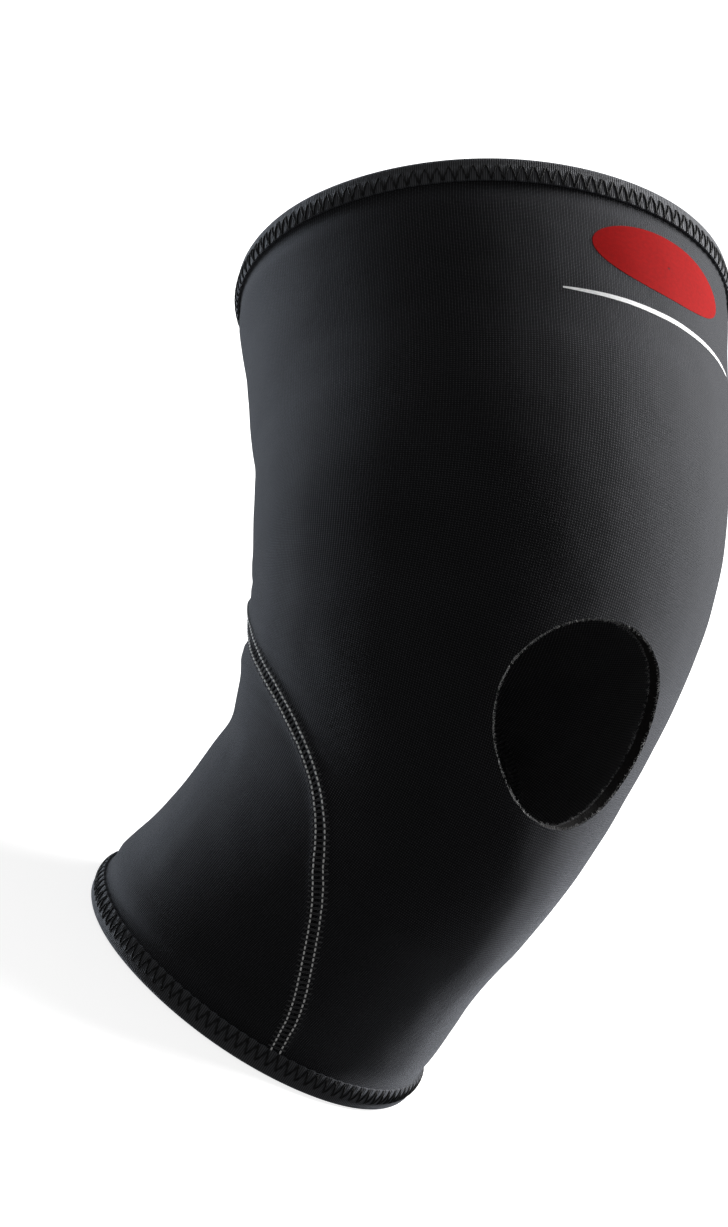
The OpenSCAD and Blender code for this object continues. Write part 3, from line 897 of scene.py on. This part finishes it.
def cut_edge():
    """Short fibres along the cut edge of the face and the lining, round the kneecap opening."""
    count, thread_r = 1500, 0.035
    bearing = rng.uniform(0, 2 * math.pi, count)
    on_face = rng.uniform(size=count) < 0.6
    level = np.where(on_face, rng.uniform(-FACE_T, 0.02, count), rng.uniform(-WALL_T - 0.02, -3.2, count))
    reach = rng.uniform(0.25, 0.9, count)
    t = np.linspace(0, 1, 5)
    inward = 1.003 - (reach / 29)[:, None] * t
    slide = rng.normal(0, 0.012, count)[:, None] * t
    a = bearing[:, None] + slide
    s = -HOLE_DROP + HOLE_S * inward * np.sin(a)
    th = HOLE_TH * inward * np.cos(a)
    curl = rng.normal(0, 0.3, count)[:, None] * t**2
    centre = skin(s, th, relief(s, th) + level[:, None] + curl)
    v, f = tubes(centre, normals(s, th), thread_r, 4)
    # The fibres' grey is a painted highlight along the cut edge.
    place_soft(new_mesh("cut_edge_fibres", v, f, FUZZ))


printed()
care_label()
cut_edge()

# ---------------------------------------------------------------- camera, floor and light
AZIMUTH, ELEVATION, ROLL = math.radians(-38.8), math.radians(15.9), math.radians(34.9)
DISTANCE = 1.5                     # camera to the middle of the bend, metres
LENS = 154.03                      # millimetres, on a sensor 36 mm long
AIM_LEFT, AIM_UP = 0.02554, 0.009  # middle of the view, from the middle of the bend, metres
AMBIENT = 0.17                     # light of the room on the cloth
FLOOR_GLOW = 0.82
FLOOR_TONE = 0.5
FLOOR_HALF = 14                    # half the floor's side, metres


def camera():
    """The camera, and the knee's place with the ways back to the camera, right and up in its view."""
    back = Vector((math.sin(AZIMUTH) * math.cos(ELEVATION), -math.cos(AZIMUTH) * math.cos(ELEVATION),
                   math.sin(ELEVATION)))
    level = Vector((math.cos(AZIMUTH), math.sin(AZIMUTH), 0))
    right = level * math.cos(ROLL) + back.cross(level) * math.sin(ROLL)
    up = back.cross(right)
    data = bpy.data.cameras.new("camera")
    data.sensor_width = 36
    data.lens = LENS
    data.clip_end = 50
    cam = bpy.data.objects.new("camera", data)
    bpy.context.scene.collection.objects.link(cam)
    knee = Vector(hinge * MM)
    cam.location = knee + back * DISTANCE
    aim = (up * AIM_UP - right * AIM_LEFT - back * DISTANCE).normalized()
    side = (right - aim * right.dot(aim)).normalized()
    cam.rotation_euler = Matrix((side, side.cross(aim), -aim)).transposed().to_euler()
    bpy.context.scene.camera = cam
    return knee, back, right, up


def area_light(name, place, target, size, power, colour=(1, 1, 1), only=None):
    data = bpy.data.lights.new(name, "AREA")
    data.shape = "RECTANGLE"
    data.size, data.size_y = size
    data.energy = power
    data.color = colour
    obj = bpy.data.objects.new(name, data)
    bpy.context.scene.collection.objects.link(obj)
    obj.location = place
    obj.rotation_euler = (target - place).to_track_quat("-Z", "Y").to_euler()
    if only is not None:
        obj.light_linking.receiver_collection = only


def floor():
    """Pale paper that glows a little, so that it stays pale round the dark cloth without lighting it."""
    corners = [(x * FLOOR_HALF, y * FLOOR_HALF, 0) for x, y in ((-1, -1), (1, -1), (1, 1), (-1, 1))]
    mesh = bpy.data.meshes.new("floor")
    mesh.from_pydata(corners, [], [(0, 1, 2, 3)])
    obj = bpy.data.objects.new("floor", mesh)
    bpy.context.scene.collection.objects.link(obj)
    mat, tree, shader = material("floor_paper", 0.9, 0.1)
    source = tree.nodes.new("ShaderNodeTexNoise")
    source.inputs["Scale"].default_value = 3
    tone = ramp(tree, source.outputs["Fac"], [(0.3, (FLOOR_TONE,) * 3), (0.7, (FLOOR_TONE + 0.02,) * 3)])
    feed(tree, shader.inputs["Base Color"], tone)
    shader.inputs["Emission Color"].default_value = (1, 1, 1, 1)
    shader.inputs["Emission Strength"].default_value = FLOOR_GLOW
    mesh.materials.append(mat)
    obj.visible_diffuse = False
    obj.visible_glossy = False
    obj.visible_shadow = False


def studio(ambient, seen):
    """A pale room that lights the cloth only a little."""
    world = bpy.data.worlds.new("studio")
    world.use_nodes = True
    tree = world.node_tree
    path = tree.nodes.new("ShaderNodeLightPath")
    strength = math_node(tree, "MULTIPLY_ADD", path.outputs["Is Camera Ray"], seen - ambient, ambient)
    tree.links.new(strength, tree.nodes["Background"].inputs["Strength"])
    tree.nodes["Background"].inputs["Color"].default_value = (1, 1, 1, 1)
    bpy.context.scene.world = world
    bpy.context.scene.view_settings.view_transform = "Standard"


def cloth_only():
    """The sleeve's own pieces, without the floor."""
    pieces = bpy.data.collections.new("sleeve_pieces")
    for obj in bpy.context.scene.objects:
        if obj.type == "MESH" and obj.name != "floor":
            pieces.objects.link(obj)
    return pieces


def lights(knee, back, right, up):
    """A soft light overhead, a strip behind to the right, and a cool one low behind to the left."""
    area_light("overhead", knee + Vector((0, 0, 2.2)), knee, (3.0, 3.0), 8)
    area_light("key", knee + right * 1.32 - back * 0.5 + up * 0.42, knee, (0.6, 1.2), 68)
    # This one stands below the floor, so it lights the sleeve alone
    area_light("rim", knee - right * 1.25 - back * 0.98 + up * 0.45, knee, (0.7, 1.3), 29,
               (0.84, 0.91, 1), cloth_only())


view = camera()
floor()
studio(AMBIENT, FLOOR_GLOW + FLOOR_TONE * AMBIENT)
lights(*view)
